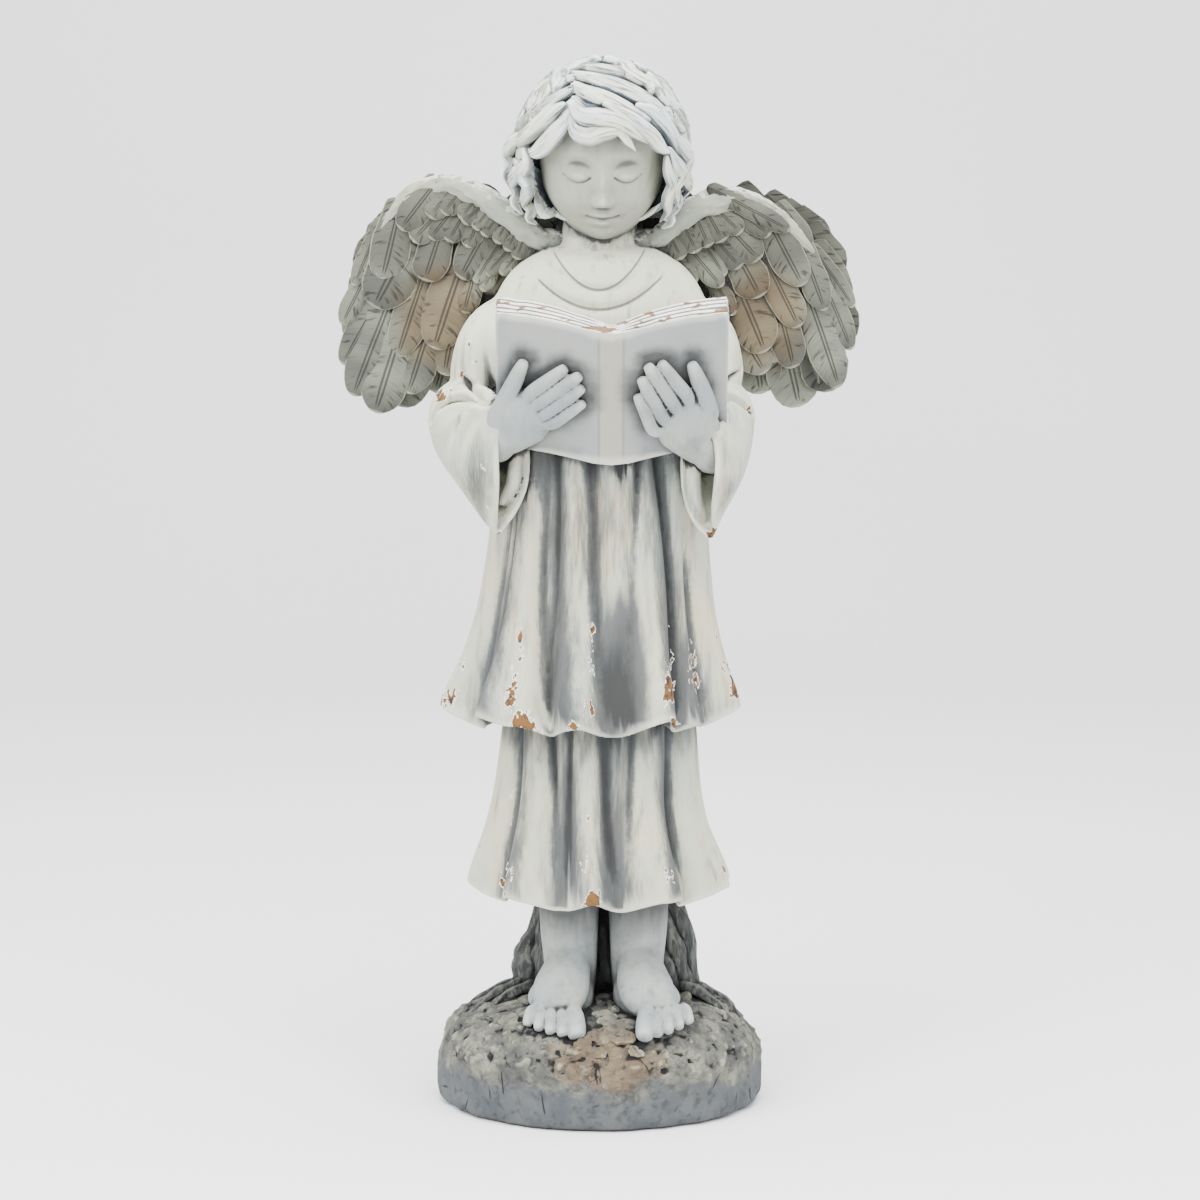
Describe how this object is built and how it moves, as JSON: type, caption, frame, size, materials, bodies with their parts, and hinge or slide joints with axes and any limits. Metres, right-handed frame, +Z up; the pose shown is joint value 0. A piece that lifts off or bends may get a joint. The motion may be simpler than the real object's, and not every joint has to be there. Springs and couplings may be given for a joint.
{
  "type": "cherub statue",
  "caption": "Cast garden statue of a standing winged child reading an open book, in a two-tier robe, on a rocky mound with a stump behind the bare feet.",
  "frame": {"origin": "on the ground, under the middle of the statue's bounding box", "axes": "+Z up, the statue faces -Y, +X on the right of someone who faces it"},
  "size_m": [0.4266, 0.23, 0.84],
  "materials": {
    "cherub_statue": "matte"
  },
  "bodies": {
    "root": {"cherub_statue": "cherub_statue"}
  },
  "joints": []
}
